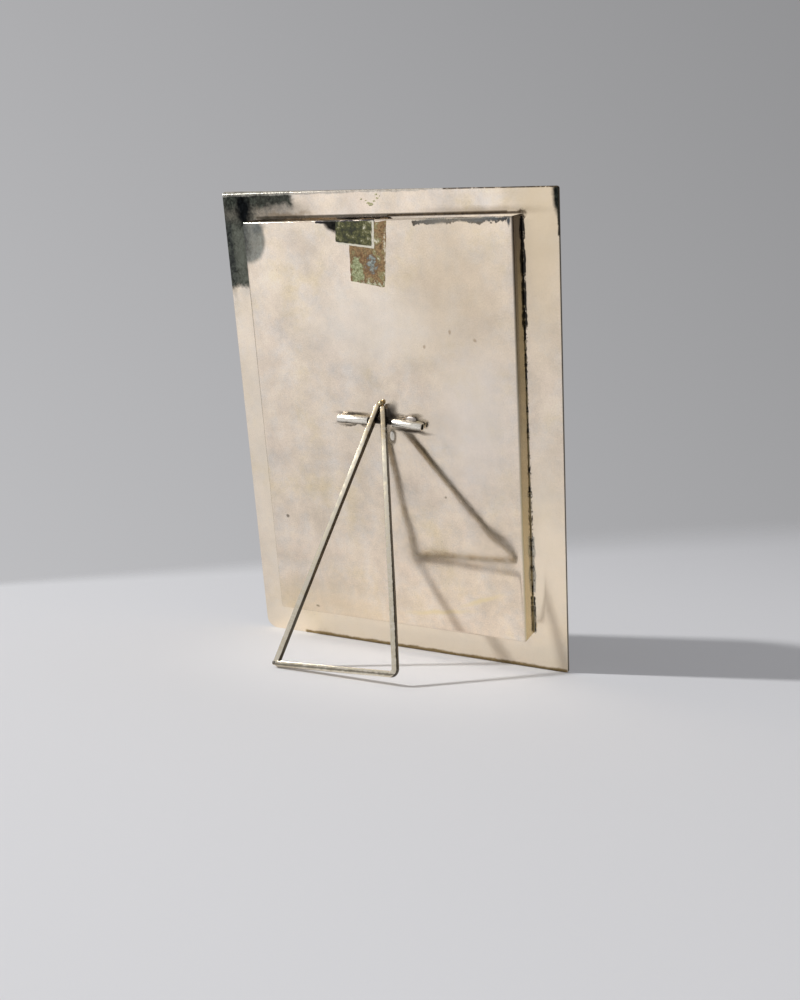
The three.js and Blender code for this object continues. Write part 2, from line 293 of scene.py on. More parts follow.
def polishedSheet(name, plan):
    wall, hollow = plan.get("wall"), plan.get("hollow")
    material, add, place = newMaterial(name)
    flat = flatDrawing(add, place)
    sheet = add("VectorMath", {0: flat, 1: (1, 0, 1)}, operation="MULTIPLY")
    axes = add("SeparateXYZ", {0: flat})
    cloud, patch, grain, mottle, coarse, fine, wave, ripple = [
        add("TexNoise", {"Vector": sheet, "Scale": 1 / size, "Detail": detail, "Roughness": harsh})
        for size, detail, harsh in sheetPlan["noises"].values()]
    warm = add("MapRange", {"Value": cloud, "From": (0.38, 0.64)})
    cool = add("MapRange", {"Value": patch, "From": (0.46, 0.70)})
    tone = add("Mix", {0: warm, 6: sheetPlan["pink"], 7: sheetPlan["beige"]}, data_type="RGBA")
    tone = add("Mix", {0: cool, 6: tone, 7: sheetPlan["lavender"]}, data_type="RGBA")
    low = add("MapRange", {"Value": cloud, "From": (0.54, 0.72)})
    tone = add("Mix", {0: low, 6: tone, 7: sheetPlan["straw"]}, data_type="RGBA")
    worn = add("MapRange", {"Value": grain, "From": (0.3, 0.7), "To": sheetPlan["grainTone"]})
    shade = add("MapRange", {"Value": mottle, "From": (0.36, 0.62), "To": sheetPlan["mottleTone"]})
    worn = add("Math", {0: worn, 1: shade}, operation="MULTIPLY")
    tone = add("VectorMath", {0: tone, "Scale": worn}, operation="SCALE")
    rough = add("MapRange", {"Value": patch, "From": (0.3, 0.7), "To": sheetPlan["shine"]})
    specks = add("TexVoronoi", {"Vector": sheet, "Scale": 1 / sheetPlan["speck"]})
    pit = add("MapRange", {"Value": specks, "From": (0.09, 0.05)})
    pitted = add("Math", {0: pit, 1: low}, operation="MULTIPLY")
    tone = add("Mix", {0: pitted, 6: tone, 7: sheetPlan["pit"]}, data_type="RGBA")
    if wall:  # the pan's standing sides were left unpolished: dull olive, darker towards the top, which also stands in as painted shade on the side turned from the lamp; a near-black band along the upper fold is a painted dark reflection
        side = add("Math", {0: axes.outputs["X"]}, operation="ABSOLUTE")
        side = add("MapRange", {"Value": side, "From": (wall["from"] - wall["blend"], wall["from"] + wall["blend"])})
        height = add("MapRange", {"Value": axes.outputs["Z"], "From": wall["rise"]})
        olive = add("Mix", {0: height, 6: wall["low"], 7: wall["high"]}, data_type="RGBA")
        fold = add("MapRange", {"Value": axes.outputs["Y"], "From": wall["foldReflectionOut"]}, interpolation_type="SMOOTHSTEP")
        upper = add("MapRange", {"Value": axes.outputs["Z"], "From": wall["foldReflectionRise"], "To Max": wall["foldReflectionMost"]})
        fold = add("Math", {0: fold, 1: upper}, operation="MULTIPLY")
        olive = add("Mix", {0: fold, 6: olive, 7: wall["fold"]}, data_type="RGBA")
        crown = add("MapRange", {"Value": axes.outputs["Z"], "From": wall["crownRise"], "To Max": wall["crownMost"]})
        olive = add("Mix", {0: crown, 6: olive, 7: wall["crown"]}, data_type="RGBA")
        tone = add("Mix", {0: side, 6: tone, 7: olive}, data_type="RGBA")
    outside = add("MapRange", {"Value": axes.outputs["Y"], "From": plan["shown"]})
    if not wall:  # the show side is kept polished
        clean = add("Math", {0: outside, 1: 1 - sheetPlan["frontShare"], 2: sheetPlan["frontShare"]},
            operation="MULTIPLY_ADD")
        tone = add("Mix", {0: clean, 6: sheetPlan["front"], 7: tone}, data_type="RGBA")
    streakWay = add("VectorMath", {0: sheet, 1: (1 / sheetPlan["streakWide"], 1, 1 / sheetPlan["streakHigh"])},
        operation="MULTIPLY")
    streak = add("TexNoise", {"Vector": streakWay, "Scale": 1.0, "Detail": 5.0, "Roughness": 0.7, "Distortion": 0.8})
    veil = add("MapRange", {"Value": streak, "From": (0.40, 0.64)})
    ways = {"straight": sheet}
    for kind, (wide, narrow) in sheetPlan["strays"].items():
        way = add("VectorMath", {0: coarse.outputs["Color"], 1: (wide, 0, wide), 2: sheet}, operation="MULTIPLY_ADD")
        way = add("VectorMath", {0: fine.outputs["Color"], 1: (narrow, 0, narrow), 2: way}, operation="MULTIPLY_ADD")
        shift = (wide + narrow) / 2
        ways[kind] = add("VectorMath", {0: way, 1: (shift, 0, shift)}, operation="SUBTRACT")
    bare = None  # how much of the metal still shows
    for at, half, soft, tint, mark in plan["marks"]:
        gap = add("VectorMath", {0: ways[mark.get("way", "calm")], 1: (at[0] * mm, 0, at[1] * mm)},
            operation="SUBTRACT")
        if "turn" in mark:
            gap = add("VectorRotate", {"Vector": gap, "Angle": math.radians(mark["turn"])}, rotation_type="Y_AXIS")
        if mark.get("box"):
            gap = pastBox(add, gap, (half[0] * mm, 1, half[1] * mm))
            least, most = -0.1 * soft * mm, soft * mm
        else:
            gap = inEllipse(add, gap, half)
            share = soft / min(half)
            least, most = max(1 - share, 0), 1 + share
        mask = add("MapRange", {
            "Value": gap, "From": (most, least), "To Max": mark.get("strength", 1.0)}, interpolation_type="SMOOTHSTEP")
        if "gappy" in mark:
            hole = add("MapRange", {"Value": streak, "From": (
                mark["gappy"] + sheetPlan["gapSoft"], mark["gappy"] - sheetPlan["gapSoft"])})
            mask = add("Math", {0: mask, 1: hole}, operation="MULTIPLY")
        mask = add("Math", {0: mask, 1: outside}, operation="MULTIPLY")
        colour = tint
        if "second" in mark:
            colour = add("Mix", {0: veil, 6: tint, 7: mark["second"]}, data_type="RGBA")
        tone = add("Mix", {0: mask, 6: tone, 7: colour}, data_type="RGBA")
        rough = add("Mix", {0: mask, 2: rough, 3: mark.get("rough", 0.2)})
        if "crust" in mark:
            bare = add("Mix", {0: mask, 2: 1.0 if bare is None else bare, 3: 1 - mark["crust"]})
    across = 1 / sheetPlan["hair"]
    hairWay = add("VectorMath", {0: sheet, 1: (across, 1, across / sheetPlan["hairLong"])}, operation="MULTIPLY")
    hair = add("TexNoise", {"Vector": hairWay, "Scale": 1.0, "Detail": 1.0})
    bump = add("Bump", {"Height": wave, "Distance": sheetPlan["waveDeep"]})
    bump = add("Bump", {"Height": ripple, "Distance": sheetPlan["rippleDeep"], "Normal": bump})
    bump = add("Bump", {"Height": hair, "Distance": sheetPlan["hairDeep"], "Normal": bump})
    bump = add("Bump", {"Height": pit, "Distance": sheetPlan["pitDeep"], "Normal": bump})
    if hollow:  # solder drawn out thin along a seam turns the shine away from the pan
        off = add("VectorMath", {0: sheet, 1: hollow["middle"]}, operation="SUBTRACT")
        off = pastBox(add, off, hollow["half"])
        near = add("MapRange", {"Value": off, "From": (hollow["wide"], 0)})
        near = add("Math", {0: near, 1: 2.0}, operation="POWER")
        near = add("Math", {0: near, 1: outside}, operation="MULTIPLY")
        bump = add("Bump", {"Height": near, "Distance": hollow["high"], "Normal": bump})
    add("OutputMaterial", {"Surface": add("BsdfPrincipled", {
        "Base Color": tone, "Metallic": 1.0 if bare is None else bare, "Roughness": rough, "Normal": bump})})
    return material


# front plate: one flat sheet with a window, worn round at one foot
platePlan = {
    "width": 133 * mm, "height": 177 * mm, "thick": 1.2 * mm, "corner": 0.8 * mm, "wornCorner": 4.5 * mm,
    "windowSide": 46 * mm, "windowLow": 20 * mm, "windowTop": 162 * mm, "edge": 0.2 * mm,
    "shown": (-1.0 * mm, -0.5 * mm),  # the marks keep to the back's flat face
    "topRise": ((66.5, 1.9), (46, 1.55), (-46, 0.25)),
    "wear": {"high": 0.95 * mm, "far": -20 * mm, "low": 0.61 * mm, "deep": 0.8},
    "hollow": {"middle": (-30 * mm, 0, 93 * mm), "half": (23.6 * mm, 1, 73 * mm), "wide": 4.6 * mm, "high": 0.5 * mm},
    "marks": [  # middle and half size in mm, softness, colour, and what else sets the mark apart
        ((-60, 168), (11, 42), 8, "#E9D5B4", {"way": "ragged", "strength": 0.75, "rough": 0.14}),
        # painted light: the lower right and bottom borders are lightened where the plate mirrors the table lit by the
        # polished back
        ((-60, 34), (9, 46), 6, "#FDEFD8", {"way": "ragged", "strength": 0.75, "rough": 0.12}),
        ((0, 5.5), (70, 6.5), 4, "#FFF3DE", {"way": "ragged", "strength": 0.8, "rough": 0.12}),
        ((60, 60), (9, 80), 6, "#FDF0DC", {"way": "ragged", "strength": 0.5, "rough": 0.12}),
        ((62.5, 162), (8.9, 17.2), 2.2, "#33372F", {"box": True, "way": "ragged", "second": "#6E7267", "rough": 0.3}),
        ((65.2, 160), (2.0, 17), 1.2, "#23262A", {"way": "ragged", "second": "#4A4E4A", "strength": 0.7, "rough": 0.3}),
        ((60.2, 156), (2.6, 11), 2.2, "#7A7D72", {"way": "ragged", "strength": 0.45, "rough": 0.3}),
        ((49, 171.6), (16, 3.6), 3.0, "#6B675F", {"way": "ragged", "second": "#948B7C", "strength": 0.8}),
        ((39, 169.6), (9, 1.1), 1.0, "#7A6446", {"way": "ragged", "strength": 0.6}),
        ((51, 175.9), (13.2, 1.3), 3.4, "#20221F", {"box": True, "way": "ragged", "second": "#555950", "rough": 0.3}),
        ((57.8, 171.5), (3.2, 6.5), 1.6, "#0C0D0E", {"way": "ragged", "second": "#1F2223", "rough": 0.25}),
        ((20, 178.2), (48, 1.0), 0.4, "#8E8A80", {"box": True, "second": "#D8D4C8", "strength": 0.6, "rough": 0.3}),
        # painted shade: the dark gap just above the pan's open top, fading up into brown
        ((2, 169.1), (50, 0.25), 0.5, "#4E473B", {"box": True, "way": "straight", "second": "#6E6556",
            "strength": 0.85, "rough": 0.3}),
        ((-38, 169.6), (17, 1.2), 1.2, "#7A6548", {"strength": 0.5}),
        ((-28, 168.8), (25, 0.25), 0.4, "#2A2018", {"box": True, "way": "straight", "second": "#57452F",
            "strength": 0.9}),
        ((-53.2, 169.2), (1.5, 0.9), 0.7, "#2A221A", {"way": "ragged", "second": "#5C4A33", "strength": 0.9}),
        ((-66.9, 175), (2.5, 7.5), 0.8, "#191B19", {"second": "#30332D", "rough": 0.35}),
        ((-45.5, 177.25), (20.5, 0.2), 0.35, "#2A2119", {"box": True, "way": "straight", "turn": 0.8, "gappy": 0.6,
            "second": "#6A5A44", "rough": 0.3}),
        ((-66.5, 170), (0.25, 9), 0.5, "#191B19", {"box": True, "second": "#30332D", "rough": 0.35}),
        ((-66.6, 90), (0.1, 90), 0.4, "#3C362B", {"box": True, "way": "straight", "rough": 0.4}),
        ((-9, 0.5), (56.6, 0.45), 0.8, "#8F7A55", {"box": True, "second": "#A8946C", "rough": 0.3}),
        ((-53.6, 112), (0.1, 56), 0.3, "#1B1712", {"box": True, "gappy": 0.46, "second": "#3A3022", "rough": 0.5,
            "crust": 0.9}),
        ((-53.8, 148), (0.3, 18.5), 0.3, "#1B1712", {"box": True, "gappy": 0.6, "second": "#3A3022", "rough": 0.5,
            "crust": 0.9}),
        ((-53.9, 42), (0.5, 11), 0.3, "#CFC8BA", {"box": True, "second": "#E2DDD2", "rough": 0.4, "crust": 0.6}),
        ((-53.8, 48), (0.15, 34), 0.3, "#1B1712", {"box": True, "gappy": 0.47, "rough": 0.5, "crust": 0.9}),
        ((-53.85, 22), (0.12, 7), 0.55, "#211E18", {"box": True, "gappy": 0.6, "second": "#6A6455", "rough": 0.5,
            "crust": 0.8}),
        ((53.75, 90), (0.3, 78), 0.4, "#3A342A", {"box": True, "gappy": 0.5, "rough": 0.5}),
        ((0, 13.6), (52, 0.25), 0.4, "#5A5040", {"box": True, "gappy": 0.5, "rough": 0.4}),
    ],
}
halfWidth = platePlan["width"] / 2
bpy.ops.mesh.primitive_plane_add(size=1, location=(0, 0, platePlan["height"] / 2), rotation=(-math.pi / 2, 0, 0))
plate = begin("frontPlate")
plate.scale = (platePlan["width"], platePlan["height"], 1)
applyPlace(plate)
bpy.ops.object.mode_set(mode="EDIT")
for x in (-platePlan["windowSide"], platePlan["windowSide"]):
    cut((x, 0, 0), (1, 0, 0))
for v in (platePlan["windowLow"], platePlan["windowTop"]):
    cut((0, 0, v), (0, 0, 1))
pick(plate, "FACE", lambda c, f: abs(c.x) < 1 * mm and 80 * mm < c.z < 100 * mm)
bpy.ops.mesh.delete(type="FACE")
for x, rise in platePlan["topRise"]:  # the top was cut a little out of square
    pick(plate, "VERT", lambda c, v: abs(c.x - x * mm) < mm and c.z > platePlan["height"] - mm)
    bpy.ops.transform.translate(value=(0, 0, rise * mm))
pick(plate, "VERT", lambda c, v: abs(c.x) > halfWidth - mm and (
    c.z > platePlan["height"] - mm or (c.z < mm and c.x < 0)))
bpy.ops.mesh.bevel(offset=platePlan["corner"], offset_pct=0, segments=5, affect="VERTICES")
pick(plate, "VERT", lambda c, v: c.x > halfWidth - mm and c.z < 0.1 * mm)
bpy.ops.mesh.bevel(offset=platePlan["wornCorner"], offset_pct=0, segments=10, affect="VERTICES")
weld()
bpy.ops.object.mode_set(mode="OBJECT")
modify(plate, "SOLIDIFY", thickness=platePlan["thick"], offset=-1)
bpy.ops.object.mode_set(mode="EDIT")
wear = platePlan["wear"]
wearFrom = Vector((halfWidth, 0, platePlan["height"] + wear["high"]))  # its back edge is filed off there
wearTo = Vector((wear["far"], 0, platePlan["height"] + wear["low"]))
wearIn = Vector((halfWidth, -platePlan["thick"] * wear["deep"], platePlan["height"] + platePlan["topRise"][0][1] * mm))
wearNormal = (wearTo - wearFrom).cross(wearIn - wearFrom).normalized()
cut(wearFrom, wearNormal, clear_outer=True, use_fill=True)
weld()
bpy.ops.object.mode_set(mode="OBJECT")
modify(plate, "BEVEL", width=platePlan["edge"], segments=4, limit_method="ANGLE", angle_limit=math.radians(40))
smooth(plate, 25)
modify(plate, "WEIGHTED_NORMAL", keep_sharp=True, weight=100)
leanOn(plate)
give(plate, polishedSheet("tarnished nickel silver plate", platePlan), "frame", "plated_metal", "front_plate")
print("front plate made")

# back pan: a shallow tray folded from thinner sheet, open at its top, soldered on by its three sides
panPlan = {
    "side": 53.3 * mm, "low": 14 * mm, "top": 168.3 * mm, "out": 8.3 * mm, "inset": 0.15 * mm, "thick": 0.8 * mm,
    "corner": 1.1 * mm, "fold": 0.9 * mm, "edge": 0.1 * mm, "rim": 0.55 * mm, "shown": (6.6 * mm, 7.4 * mm),
    "dish": ((-40, 0.0), (-43, 0.02), (-46, 0.045), (-49, 0.07), (-51, 0.05)),
    # the standing sides' olive is also painted shade, and their near-black fold colour a painted dark reflection
    "wall": {"from": 52.9 * mm, "blend": 0.3 * mm, "low": "#DCCBA4", "high": "#978860", "rise": (20 * mm, 125 * mm),
             "fold": "#17120D", "foldReflectionOut": (4.6 * mm, 7.4 * mm), "foldReflectionRise": (70 * mm, 150 * mm), "foldReflectionMost": 0.92,
             "crown": "#3A2C1D", "crownRise": (138 * mm, 163 * mm), "crownMost": 0.9},
    "marks": [  # middle and half size in mm, softness, colour, and what else sets the mark apart
        ((51.2, 162.0), (7.2, 8.6), 1.0, "#5E6560", {"second": "#858D86", "strength": 0.8, "rough": 0.2}),
        ((54.2, 163), (3.0, 7.5), 2.6, "#23262A", {"way": "ragged", "second": "#454A48", "strength": 0.75,
            "rough": 0.25}),
        ((46.6, 166.6), (2.2, 2.0), 1.6, "#474D52", {"way": "ragged", "strength": 0.5}),
        # painted dark reflection: a bluish-black band just under the pan's rolled top edge
        ((10, 167.75), (12, 0.3), 0.3, "#15161F", {"box": True, "rough": 0.3}),
        ((-34, 167.5), (17.5, 0.45), 0.4, "#14161D", {"box": True, "way": "ragged", "second": "#33404A", "rough": 0.3}),
        ((-25, 167.5), (6, 1.1), 0.5, "#3D4850", {"second": "#51606A", "rough": 0.3}),
        ((-40, 167.6), (9, 0.8), 0.4, "#3D4850", {"second": "#51606A", "rough": 0.3}),
        ((-52.0, 166.8), (0.5, 1.6), 0.3, "#4A5258", {"rough": 0.3}),
        ((15.6, 167.2), (4.6, 2.2), 0.8, "#141414", {"turn": 40, "second": "#35332F", "rough": 0.35}),
        ((-31, 140), (20, 30), 14, "#DCC6A4", {"way": "ragged", "strength": 0.45, "rough": 0.12}),
        ((-37, 98), (13, 24), 10, "#FAF0E6", {"way": "ragged", "strength": 0.6, "rough": 0.1}),
        ((2, 131), (24, 13), 9, "#FCF1E2", {"way": "ragged", "strength": 0.5, "rough": 0.1}),
        ((38, 18), (34, 9), 6, "#EBD7B4", {"way": "ragged", "strength": 0.4, "rough": 0.12}),
        ((45.8, 54.3), (0.7, 0.7), 0.3, "#6F6557", {"strength": 0.8}),
        ((35.7, 16.9), (0.7, 0.5), 0.3, "#85775F", {"strength": 0.7}),
        ((42.7, 13.9), (6.8, 0.4), 0.3, "#8D7D64", {"strength": 0.7}),
        ((-28.3, 129.4), (0.5, 0.8), 0.3, "#A78F72", {"strength": 0.6}),
        ((-38, 126.8), (0.7, 0.5), 0.3, "#A78F72", {"strength": 0.6}),
        ((-18.3, 123.8), (0.5, 0.6), 0.3, "#A78F72", {"strength": 0.6}),
        ((-23.7, 68), (0.5, 0.5), 0.2, "#8D7A62", {"strength": 0.7}),
        ((-18, 21.6), (11, 0.8), 0.7, "#F4E2B4", {"turn": -9, "strength": 0.7, "rough": 0.1}),
        ((-36, 28.6), (7, 0.8), 0.7, "#F4E2B4", {"turn": -22, "strength": 0.7, "rough": 0.1}),
        ((-2, 95.3), (24, 6), 4, "#EBDCC6", {"way": "ragged", "strength": 0.5, "rough": 0.3}),
        ((-3.4, 90.3), (1.5, 2.8), 0.35, "#4F463A", {"second": "#8A7F70", "strength": 0.75, "rough": 0.35}),
        # painted shade: a black cloud beside the apex for the stand's dark mirror image and shadow there
        ((-2.9, 98.4), (2.0, 4.4), 1.2, "#1B1611", {"turn": 25, "second": "#4A4032", "strength": 0.85, "rough": 0.5,
            "crust": 0.7}),
        ((11.6, 93.8), (6.0, 0.6), 0.6, "#2C2319", {"way": "ragged", "second": "#6A5C46", "strength": 0.9,
            "rough": 0.4, "crust": 0.5}),
        ((12.2, 97.9), (6.2, 0.8), 0.5, "#4A4239", {"second": "#857C72", "strength": 0.9, "rough": 0.4, "crust": 0.5}),
        ((-9.5, 97.3), (6.5, 1.2), 0.6, "#3A3127", {"turn": 5, "second": "#77695A", "strength": 0.9, "rough": 0.4,
            "crust": 0.5}),
        ((-11, 92.6), (6.5, 0.7), 0.5, "#1E1711", {"turn": 5, "second": "#4A3D2D", "strength": 0.95, "rough": 0.4,
            "crust": 0.5}),
        ((-13.2, 98.4), (2.6, 0.9), 0.5, "#4B4030", {"second": "#85765E", "strength": 0.7, "rough": 0.4}),
    ],
}
bpy.ops.mesh.primitive_plane_add(size=1, location=(0, panPlan["out"], (panPlan["low"] + panPlan["top"]) / 2),
    rotation=(-math.pi / 2, 0, 0))
pan = begin("backPan")
pan.scale = (2 * panPlan["side"], panPlan["top"] - panPlan["low"], 1)
applyPlace(pan)
bpy.ops.object.mode_set(mode="EDIT")
pick(pan, "EDGE", lambda c, e: abs(c.x) > panPlan["side"] - mm or c.z < panPlan["low"] + mm)
bpy.ops.mesh.extrude_edges_move(TRANSFORM_OT_translate={"value": (0, panPlan["inset"] - panPlan["out"], 0)})
pick(pan, "EDGE", lambda c, e: abs(c.x) > panPlan["side"] - mm and c.z < panPlan["low"] + mm)
bpy.ops.mesh.bevel(offset=panPlan["corner"], offset_pct=0, segments=6, affect="EDGES")
pick(pan, "EDGE", lambda c, e: len(e.link_faces) == 2 and (
    c.y > panPlan["out"] - 0.01 * mm and c.z < panPlan["top"] - mm))
bpy.ops.mesh.bevel(offset=panPlan["fold"], offset_pct=0, segments=5, affect="EDGES")
for x, lift in panPlan["dish"]:  # the panel lifts a hair towards one fold
    cut((x * mm, 0, 0), (1, 0, 0))
    pick(pan, "VERT", lambda c, v: c.x < x * mm + 1e-5 and c.y > panPlan["out"] - 0.2 * mm)
    bpy.ops.transform.translate(value=(0, lift * mm, 0))
weld()
bpy.ops.mesh.normals_make_consistent(inside=False)
bpy.ops.object.mode_set(mode="OBJECT")
modify(pan, "SOLIDIFY", thickness=panPlan["thick"], offset=-1)
bpy.ops.object.mode_set(mode="EDIT")
pick(pan, "EDGE", lambda c, e: c.z > panPlan["top"] - 0.01 * mm and c.y > panPlan["out"] - 0.05 * mm)
bpy.ops.mesh.bevel(offset=panPlan["rim"], offset_pct=0, segments=4, affect="EDGES")  # worn rim along the open top
bpy.ops.object.mode_set(mode="OBJECT")
modify(pan, "BEVEL", width=panPlan["edge"], segments=2, limit_method="ANGLE", angle_limit=math.radians(50))
smooth(pan)
modify(pan, "WEIGHTED_NORMAL", keep_sharp=True, weight=100)
leanOn(pan)
give(pan, polishedSheet("tarnished nickel silver pan", panPlan), "frame", "plated_metal", "back_pan")
print("back pan made")


# plain stuff whose one noise gives its two colours and, where there is a depth, its lumps
def speckled(name, grain, detail, dark, pale, looks, depth=0):
    material, add, place = newMaterial(name)
    noise = add("TexNoise", {"Vector": place, "Scale": 1 / (grain * mm), "Detail": detail})
    looks = {"Base Color": add("Mix", {0: noise, 6: dark, 7: pale}, data_type="RGBA"), **looks}
    if depth:
        looks["Normal"] = add("Bump", {"Height": noise, "Distance": depth * mm})
    add("OutputMaterial", {"Surface": add("BsdfPrincipled", looks)})
    return material


# soft solder: dull grey, run into small lumps as it set
solder, add, place = newMaterial("soft solder")
lump = add("TexNoise", {"Vector": place, "Scale": 1 / (1.4 * mm), "Detail": 4.0})
solderTone = add("ValToRGB", {"Fac": lump})
setRamp(solderTone, (0.36, "#3F3B34"), (0.62, "#99948B"))
solderRough = add("MapRange", {"Value": lump, "To": (0.65, 0.42)})
solderBump = add("Bump", {"Height": lump, "Distance": 0.12 * mm})
add("OutputMaterial", {"Surface": add("BsdfPrincipled", {
    "Base Color": solderTone, "Metallic": 1.0, "Roughness": solderRough, "Normal": solderBump})})

# fresh solder: pale grey with a lilac cast, frosted as it cooled
paleSolder = speckled("frosted solder", grain=0.8, detail=4.0, dark="#8E877F", pale="#CBC4BE",
    looks={"Metallic": 1.0, "Roughness": 0.5}, depth=0.05)

# the seams' solder is older and thinner: nearly black, with bare grey places along it
seamSolder, add, place = newMaterial("tarnished seam solder")
patchy = add("TexNoise", {"Vector": place, "Scale": 1 / (3.5 * mm), "Detail": 4.0, "Roughness": 0.7})
height = add("SeparateXYZ", {0: place})
lowPart = add("MapRange", {"Value": height.outputs["Z"], "From": (135 * mm, 105 * mm), "To Max": 0.11})
bareness = add("Math", {0: patchy, 1: lowPart}, operation="ADD")
patchyTone = add("MapRange", {"Value": bareness, "From": (0.54, 0.62)})
seamTone = add("Mix", {0: patchyTone, 6: "#221D17", 7: "#B5A888"}, data_type="RGBA")
seamBump = add("Bump", {"Height": patchy, "Distance": 0.2 * mm})
add("OutputMaterial", {"Surface": add("BsdfPrincipled", {
    "Base Color": seamTone, "Metallic": 0.35, "Roughness": 0.6, "Normal": seamBump})})

# brass brazing: a small gold bead, bright where it is worn and brown in its hollows
brass = speckled("brass braze", grain=0.9, detail=3.0, dark="#8A7040", pale="#E9DDB5",
    looks={"Metallic": 1.0, "Roughness": 0.28}, depth=0.1)

# drawn wire: satin nickel silver with fine lines along it and brown stains near the pin; the faces that look at the pan
# and those facing away from the lamp, bands along its outer edges and its lowest 2 mm are painted darker as shade
wirePlan = {
    # the darker tones here paint shade on faces turned from the lamp, along the outer edges and near the table
    "bright": "#F8EEDA", "dull": "#DDD0B4", "innerShade": "#9A9282", "brown": "#8B7A5F", "dark": "#4A4336",
    "black": "#1B1812", "edgeShade": "#2E2618", "line": 0.3 * mm, "lineLong": 40, "streak": 2.2 * mm,
    "inner": (0, -0.95, -0.31), "shaded": (-0.97, 0, -0.24), "stain": (20 * mm, 4 * mm), "lowShade": (2.0 * mm, 0.3 * mm),
    "shadeBands": (((-0.964, 0, 0.266), (-28.7, 0, -89.7), 0.72, 0.95), ((-0.067, 0, -0.998), (-27.2, 0, -90.3), 0.3, 0.6)),
}
wireMetal, add, place = newMaterial("drawn nickel silver wire")
facing = place.node.outputs["Normal"]
standWay = add("Mapping", {  # back to the flat stand drawing
    "Vector": place, "Location": hinge["flat"], "Rotation": (-hinge["swing"], 0, 0)})
across = 1 / wirePlan["line"]
lineWay = add("VectorMath", {0: standWay, 1: (across, across, across / wirePlan["lineLong"])}, operation="MULTIPLY")
lines = add("TexNoise", {"Vector": lineWay, "Scale": 1.0, "Detail": 2.0})
streaks = add("TexNoise", {"Vector": place, "Scale": 1 / wirePlan["streak"], "Detail": 5.0, "Roughness": 0.7})
wireTone = add("MapRange", {"Value": streaks, "From": (0.4, 0.7)})
wireTone = add("Mix", {0: wireTone, 6: wirePlan["bright"], 7: wirePlan["dull"]}, data_type="RGBA")
inner = add("VectorMath", {0: facing, 1: wirePlan["inner"]}, operation="DOT_PRODUCT")  # faces the pan, turned from the lamp: painted shade
inner = add("Math", {0: streaks, 1: 0.5, 2: inner}, operation="MULTIPLY_ADD")
inner = add("MapRange", {"Value": inner, "From": (0.6, 0.95)})
shaded = add("VectorMath", {0: facing, 1: wirePlan["shaded"]}, operation="DOT_PRODUCT")  # faces turned from the lamp: painted shade
shaded = add("Math", {0: streaks, 1: 0.5, 2: shaded}, operation="MULTIPLY_ADD")
shaded = add("MapRange", {"Value": shaded, "From": (0.65, 1.0)})
nearPin = add("VectorMath", {0: place, 1: hinge["pin"]}, operation="DISTANCE")
nearPin = add("MapRange", {"Value": nearPin, "From": wirePlan["stain"]})
stained = add("Math", {0: nearPin, 1: streaks}, operation="MULTIPLY")
stained = add("MapRange", {"Value": stained, "From": (0.2, 0.45), "To Max": 0.8})
wireTone = add("Mix", {0: stained, 6: wireTone, 7: wirePlan["brown"]}, data_type="RGBA")
height = add("SeparateXYZ", {0: place})
# painted shade: darker within 2 mm of the table, along the foot's lower edge
lowEdgeShade = add("MapRange", {"Value": height.outputs["Z"], "From": wirePlan["lowShade"], "To Max": 0.6})
wireTone = add("Mix", {0: lowEdgeShade, 6: wireTone, 7: wirePlan["brown"]}, data_type="RGBA")
for outward, at, half, most in wirePlan["shadeBands"]:  # painted shade: one band down the outer edge of the bent leg and one along the foot
    reach = add("VectorMath", {0: standWay, 1: [c * mm for c in at]}, operation="SUBTRACT")
    reach = add("VectorMath", {0: reach, 1: outward}, operation="DOT_PRODUCT")
    reach = add("Math", {0: reach}, operation="ABSOLUTE")
    reach = add("Math", {0: streaks, 1: -0.8 * mm, 2: reach}, operation="MULTIPLY_ADD")
    reach = add("MapRange", {"Value": reach, "From": ((half - 0.3) * mm, (half - 0.5) * mm), "To Max": most})
    wireTone = add("Mix", {0: reach, 6: wireTone, 7: wirePlan["edgeShade"]}, data_type="RGBA")
# painted shade on the faces that look at the pan, darkest near the pin
innerShadeTone = add("Mix", {0: nearPin, 6: wirePlan["innerShade"], 7: wirePlan["black"]}, data_type="RGBA")
wireTone = add("Mix", {0: inner, 6: wireTone, 7: innerShadeTone}, data_type="RGBA")
wireTone = add("Mix", {0: shaded, 6: wireTone, 7: wirePlan["dark"]}, data_type="RGBA")
wireRough = add("MapRange", {"Value": streaks, "From": (0.3, 0.7), "To": (0.08, 0.16)})
wireBump = add("Bump", {"Height": lines, "Distance": 0.004 * mm})
add("OutputMaterial", {"Surface": add("BsdfPrincipled", {
    "Base Color": wireTone, "Metallic": 1.0, "Roughness": wireRough, "Normal": wireBump})})

# drawn tube: brighter and smoother than the wire, with grey smears of flux across it, and its underside painted dark as
# shade
tubeMetal, add, place = newMaterial("drawn nickel silver tube")
facing = place.node.outputs["Normal"]
smearWay = add("VectorMath", {0: place, 1: (1 / (3 * mm), 1 / (1.2 * mm), 1 / (1.2 * mm))}, operation="MULTIPLY")
smear = add("TexNoise", {"Vector": smearWay, "Scale": 1.0, "Detail": 5.0, "Roughness": 0.7})
smeared = add("MapRange", {"Value": smear, "From": (0.60, 0.72)})
tubeTone = add("Mix", {0: smeared, 6: "#EFE9DD", 7: "#9A9488"}, data_type="RGBA")
